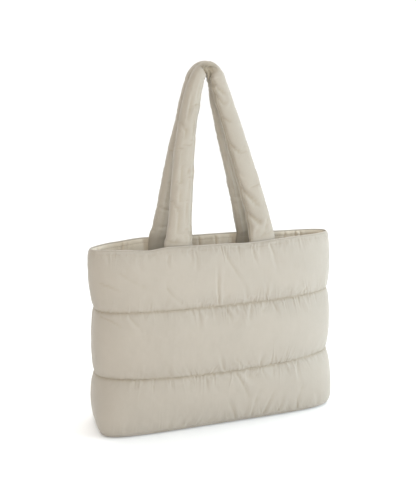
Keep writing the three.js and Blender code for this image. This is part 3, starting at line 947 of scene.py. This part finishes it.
def strapTube(side):
    # a strap's plain tube, with what its creases, paint and stitches need to know of it
    shift, spacing = bag["strapFeet"][side]
    spread = 1 if side == "front" else 2
    rim = bag["levels"][3]["height"]
    topDepth = (strap["thickness"] + strap["clearance"]) / 2
    flat = strap["sewnThickness"] / strap["thickness"]
    half = [(share * strap["sewnLength"] / strap["rise"], 1, 1, 0, 1, flat) for share in (-1, -0.55, -0.1)]
    half += strap["half"]
    inward = [0] * len(half)
    for i, full in enumerate(strap["padIn"]):
        inward[i] = (full - half[i][5]) * strap["thickness"] / 2
        half[i] = half[i][:5] + (full,)
    rows = [(-1, row, move) for row, move in zip(half, inward)]
    rows += [(1, row, move) for _, row, move in rows[-2::-1]]
    middle, sizes = [], []
    for leg, row, move in rows:
        height = rim + row[0] * strap["rise"]
        x = shift + (bag["bendShift"] - shift) * row[3] + leg * row[spread] * spacing / 2
        foot = float(liningDepth(side, shift + leg * spacing / 2, height))
        foot = foot - bag["seamGap"] - strap["sewnThickness"] / 2
        depth = foot - move + (topDepth - foot) * max(0, row[0])
        middle.append((x, -mirror[side] * depth, height))
        sizes.append((row[4] * strap["width"], row[5] * strap["thickness"]))
    # rows are spaced evenly along the strap
    shares = np.linspace(0, 1, 3001)
    walked = walkAlong(splineThrough(middle, shares))
    length = np.linspace(0, walked[-1], strap["steps"] + 1)
    shares = np.interp(length, walked, shares)
    centre = splineThrough(middle, shares)
    ahead, behind = [splineThrough(middle, np.clip(shares + step, 0, 1)) for step in (1e-4, -1e-4)]
    along = ahead - behind
    sideways = np.stack([along[:, 2], np.zeros(len(along)), -along[:, 0]], 1)
    sideways /= np.linalg.norm(sideways, axis=1, keepdims=True)
    size = splineThrough(sizes, shares)
    angles = np.linspace(0, 2 * math.pi, strap["sides"] + 1)
    turns = (np.cos(angles), np.sin(angles))
    across, out = [np.sign(turn) * np.abs(turn) ** (2 / strap["boxed"]) for turn in turns]
    sewn = 1 - smoothStep(centre[:, 2], rim, rim + strap["sewnLength"])
    tube = np.zeros((strap["steps"] + 1, strap["sides"] + 1, 3))
    for k in range(len(angles)):
        tube[:, k] = centre + sideways * (size[:, :1] / 2 * across[k])
        tube[:, k, 1] += size[:, 1] / 2 * out[k]
        bend = liningDepth(side, tube[:, k, 0], tube[:, k, 2]) - liningDepth(side, centre[:, 0], centre[:, 2])
        tube[:, k, 1] -= mirror[side] * sewn * bend
    ring = np.stack(np.broadcast_arrays(length[:, None], *(turn * strap["noiseRadius"] for turn in turns)), -1)
    return {"tube": tube, "centre": centre, "length": length, "sewn": sewn, "angles": angles,
            "across": across, "out": out, "ring": ring}


def seamTurn(side, angles):
    # how far round the section a place is from the strap's long seam
    apart = np.abs(angles - strap[side + "Seam"]) % (2 * math.pi)
    return np.minimum(apart, 2 * math.pi - apart)


def strapDents(side, form):
    # the creases, the seam's groove and small crosswise wrinkles, as a push along the surface's normal, and how
    # far each place is in the front strap's fold, where shade is painted later
    centre, length, ring = form["centre"], form["length"], form["ring"]
    across, sewn = form["across"][None, :], form["sewn"][:, None]
    seed = strap["seed"][side]
    share = (length / length[-1])[:, None]
    leg = np.where(share < 0.5, -1, 1)
    height = centre[:, 2:] * 1000
    frontFace = form["out"][None, :] < 0.2
    half = strap["creaseHalf"]
    dents = np.zeros(ring.shape[:2])
    for creases, face in ((strap[side + "Creases"], frontFace), (strap["backCreases"], ~frontFace)):
        for which, fromHeight, fromAcross, toHeight, toAcross, depth, width in creases:
            dx, dy = (toAcross - fromAcross) * half, toHeight - fromHeight
            run = math.hypot(dx, dy)
            x, y = (across - fromAcross) * half, height - fromHeight
            t = (x * dx + y * dy) / run ** 2
            aside = (x * dy - y * dx) / run
            fade = smoothStep(t, -0.1, 0.05) * (1 - smoothStep(t, 0.6, 1.15))
            dip = bell(aside, width) - 0.5 * bell(aside + 1.9 * width, 1.3 * width)
            dents -= depth / 1000 * dip * fade * (leg == which) * face
    small = wobble(ring * (1, 0.35, 0.35), 0.0075, seed)
    broad = wobble(ring, 0.022, seed + 1)
    dents -= strap["wrinkle"][side] * np.clip(0.25 - np.abs(small), 0, 1) / 0.25 * np.clip(0.5 + broad, 0, 1)
    dents += strap["rumple"] * broad
    # the bend crumples along its inner edge
    inner = np.clip(0.55 + 0.45 * across, 0, 1)
    wave = np.abs(np.sin(length * math.pi / 0.0075 + 1.3 * wobble(ring[:, 0], 0.02, seed + 4)))[:, None]
    dents += strap["bendCrumple"] * bell(share - 0.5, 0.045) * inner * (wave ** 0.8 - 0.75)
    # the front strap is folded over at its bend: past the left leg's edge the cloth lies deeper, crumpled
    near = np.exp(-((share - 0.5) / 0.05) ** 4)
    sunk = np.zeros_like(dents)
    if side == "front":
        x = centre[:, :1] - bag["bendShift"]
        sunk = smoothStep(x, -0.0105, -0.0078) * (1 - smoothStep(x, 0.002, 0.014)) * near * frontFace
        dents -= sunk * (strap["foldDepth"] + strap["foldCrumple"] * wobble(ring, 0.0045, seed + 7))
    # two soft channels run down the left leg's front
    leftFront = (leg < 0) * frontFace * (1 - near)
    drift = 0.16 * wobble(ring[:, :1] * (1, 0, 0), 0.05, seed + 8)
    for place, wide in ((0.42, 0.10), (-0.25, 0.13)):
        dents -= strap["channelDepth"] * bell(across - place - drift, wide) * leftFront
    dents *= 1 - 0.85 * sewn
    fromSeam = seamTurn(side, form["angles"])[None, :]
    free = 1 - 0.7 * sewn
    dents -= strap["seamDepth"] * bell(fromSeam, 0.13) * free
    dents -= strap["topstitchDepth"] * bell(fromSeam - strap["topstitch"], 0.09) * free
    return dents, sunk


def tubeNormals(tube):
    # a tube's first and last columns are one line
    return sheetNormals(np.concatenate([tube[:, -2:-1], tube, tube[:, 1:2]], 1))[:, 1:-1]


def buildStrap(side):
    form = strapTube(side)
    tube, length, angles = form["tube"], form["length"], form["angles"]
    push, sunk = strapDents(side, form)
    normals = tubeNormals(tube)
    outward = np.sign(((tube - form["centre"][:, None]) * normals).sum(-1).mean())
    tube = tube + normals * outward * push[..., None]
    tube[:, -1] = tube[:, 0]
    uvs = np.stack(np.meshgrid(angles / (2 * math.pi) * strap["girth"], length), -1)
    bm, _ = gridMesh(tube, uvs, {})
    bmesh.ops.remove_doubles(bm, verts=bm.verts, dist=1e-7)
    # which vertex stands at each place of the tube, now that its two edges are joined
    finder = kdtree.KDTree(len(bm.verts))
    for i, vert in enumerate(bm.verts):
        finder.insert(vert.co, i)
    finder.balance()
    order = np.array([[finder.find(spot)[1] for spot in row] for row in tube])
    held, extra = np.zeros(len(bm.verts), bool), np.zeros(len(bm.verts))
    fromSeam = seamTurn(side, angles)[None, :]
    held[order] = (form["sewn"][:, None] > 0.85) | (fromSeam < 0.08)
    bendNear = bell(length / length[-1] - 0.5, 0.07)[:, None]
    extra[order] = np.clip(0.35 + 0.9 * wobble(form["ring"], 0.03, 81) + 0.6 * bendNear, 0, 1)
    bmesh.ops.recalc_face_normals(bm, faces=bm.faces)
    before, after = settleCloth(bm, held, extra, strap["pressure"], strap["growth"])
    tube = capped(before, after, strap["cap"])[order]
    keepSide(tube, side, strap["apart"])
    tube = toFrame(tube)
    normals = tubeNormals(tube) * outward
    # painted shade in the creases and in the front strap's folded recess, along the seam and topstitch grooves,
    # and beside the seam
    crease = hollows(tube[:, :-1], normals[:, :-1], 0.0005, wrap=True)
    crease = np.maximum(np.concatenate([crease, crease[:, :1]], 1), 1.4 * sunk)
    line = 1.6 * bell(fromSeam, 0.1) + 0.8 * bell(fromSeam - strap["topstitch"], 0.09)
    near = np.maximum(bell(fromSeam, 0.25), 1.6 * sunk)
    bm, _ = gridMesh(tube, uvs, {"hollow": np.maximum(crease, line), "gather": near})
    bmesh.ops.remove_doubles(bm, verts=bm.verts, dist=1e-7)
    closeEnds(bm, "BEAUTY")
    return finishPiece(side + "Strap", bm, strapPaint), {"tube": tube, "normals": normals, "angles": angles}


frontStrap, frontTube = buildStrap("front")
print("front strap is made")
backStrap, backTube = buildStrap("back")
print("back strap is made")


# Stitches: a short rounded thread each, joined into one mesh for a panel's seams, for its rim and for a strap
stitch = {
    "pitch": 0.0033,
    "length": 0.0024,
    "thick": 0.0005,
    "boxLow": 0.272,     # the stitched box on a strap's sewn end
    "boxHigh": 0.2935,
    "boxAcross": 0.78,
}


def stitchLine(bm, line, out, lift=0.00015):
    ball = bmesh.new()
    bmesh.ops.create_uvsphere(ball, u_segments=6, v_segments=4, radius=1)
    shape = toMesh("stitch", ball)
    size = Matrix.Diagonal((stitch["thick"] / 2, stitch["thick"] / 2, stitch["length"] / 2, 1))
    walked = walkAlong(line)
    count = max(1, int(walked[-1] / stitch["pitch"]))
    for step in range(count):
        at = (step + 0.5) * walked[-1] / count
        ahead = readAlong(line, walked, min(at + 0.0008, walked[-1]))
        behind = readAlong(line, walked, max(at - 0.0008, 0))
        up = Vector(readAlong(out, walked, at)).normalized()
        along = Vector(ahead - behind).normalized()
        cross = along.cross(up).normalized()
        up = cross.cross(along)
        turn = Matrix((cross, up, along)).transposed().to_4x4()
        place = Matrix.Translation(Vector(readAlong(line, walked, at)) + up * lift)
        one = shape.copy()
        one.transform(place @ turn @ size)
        bm.from_mesh(one)
        bpy.data.meshes.remove(one)
    bpy.data.meshes.remove(shape)


def lineAtHeight(sheet, normals, heights):
    # the places where a sheet's columns cross a height, and which way it faces there
    line, out = [], []
    for col, height in enumerate(heights):
        rows = np.argsort(sheet[:, col, 2])
        z = sheet[rows, col, 2]
        line.append(readAlong(sheet[rows, col], z, height))
        out.append(readAlong(normals[rows, col], z, height))
    return np.array(line), np.array(out)


def buildSeamStitches(side, cloth):
    flip = (1, mirror[side])
    bm = bmesh.new()
    for row in (panel["rows"][0], panel["rows"][0] + panel["rows"][1]):
        line = cloth["skin"][row]
        flat = outwards(line[:, :2] * flip) * flip
        out = np.concatenate([flat, np.zeros((len(flat), 1))], 1)
        stitchLine(bm, line[3:-3], out[3:-3], 0.0003)
    return finishPiece(side + "SeamStitches", bm, stitchPaint)


def buildRimStitches(side, cloth):
    bm = bmesh.new()
    top = rimTop(side, cloth["places"]) - bag["carryHeight"]
    for sheet, drop, outside in (
        (cloth["skin"][-14:], bag["rimStitchDrop"], 1),
        (cloth["lining"][:14], bag["hemStitchDrop"], -1),
    ):
        normals = sheetNormals(sheet)
        normals *= -mirror[side] * outside * np.sign(normals[..., 1].mean())
        line, out = lineAtHeight(sheet, normals, top - drop)
        stitchLine(bm, line[4:-4], out[4:-4])
    return finishPiece(side + "RimStitches", bm, stitchPaint)


def onFoot(side, tube, rows, height, across):
    # a place on the face of a strap's sewn end that looks to the inside of the bag
    inward = math.pi / 2 if side == "front" else 1.5 * math.pi
    turn = inward - mirror[side] * math.asin(across)
    line = np.array([readAlong(tube["tube"][row], tube["angles"], turn) for row in rows])
    return readAlong(line, line[:, 2], height)


def buildStrapStitches(side, tube):
    # a line on either side of the strap's seam, and a box on each sewn end
    points, angles = tube["tube"], tube["angles"]
    count = len(points)
    span = slice(20, count - 20)
    bm = bmesh.new()
    for aside in (-strap["topstitch"], strap["topstitch"]):
        turn = (strap[side + "Seam"] + aside) % (2 * math.pi)
        place = np.interp(turn, angles, np.arange(len(angles)))
        col, share = int(place), place - int(place)
        line = points[span, col] * (1 - share) + points[span, col + 1] * share
        stitchLine(bm, line, tube["normals"][span, col])
    low, high = stitch["boxLow"] - bag["carryHeight"], stitch["boxHigh"] - bag["carryHeight"]
    reach = stitch["boxAcross"]
    corners = [(low, -reach), (low, reach), (high, reach), (high, -reach), (low, -reach)]
    steps = np.linspace(0.03, 0.97, 17)
    out = np.array([[0, mirror[side], 0]] * len(steps), float)
    for rows in (np.arange(0, count // 6), np.arange(count - 1, count - 1 - count // 6, -1)):
        for (h0, a0), (h1, a1) in zip(corners[:-1], corners[1:]):
            line = [onFoot(side, tube, rows, h0 + (h1 - h0) * t, a0 + (a1 - a0) * t) for t in steps]
            stitchLine(bm, np.array(line), out)
    return finishPiece(side + "StrapStitches", bm, stitchPaint)


stitches = [
    (buildSeamStitches("front", frontCloth), "shell_cloth"),
    (buildSeamStitches("back", backCloth), "shell_cloth"),
    (buildRimStitches("front", frontCloth), "shell_cloth"),
    (buildRimStitches("back", backCloth), "shell_cloth"),
    (buildStrapStitches("front", frontTube), "strap_cloth"),
    (buildStrapStitches("back", backTube), "strap_cloth"),
]
print("stitches are sewn")

# Each padded piece takes the place of its node
for piece, node, slot, fill in (
    (frontPanel, "front_panel", "shell_cloth", 0.55),
    (backPanel, "back_panel", "shell_cloth", 0.55),
    (basePanel, "base_panel", "shell_cloth", 0.5),
    (frontStrap, "front_strap", "strap_cloth", 0.6),
    (backStrap, "back_strap", "strap_cloth", 0.6),
):
    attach(piece, "root")
    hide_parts(node)
for piece, slot in stitches:
    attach(piece, "root")
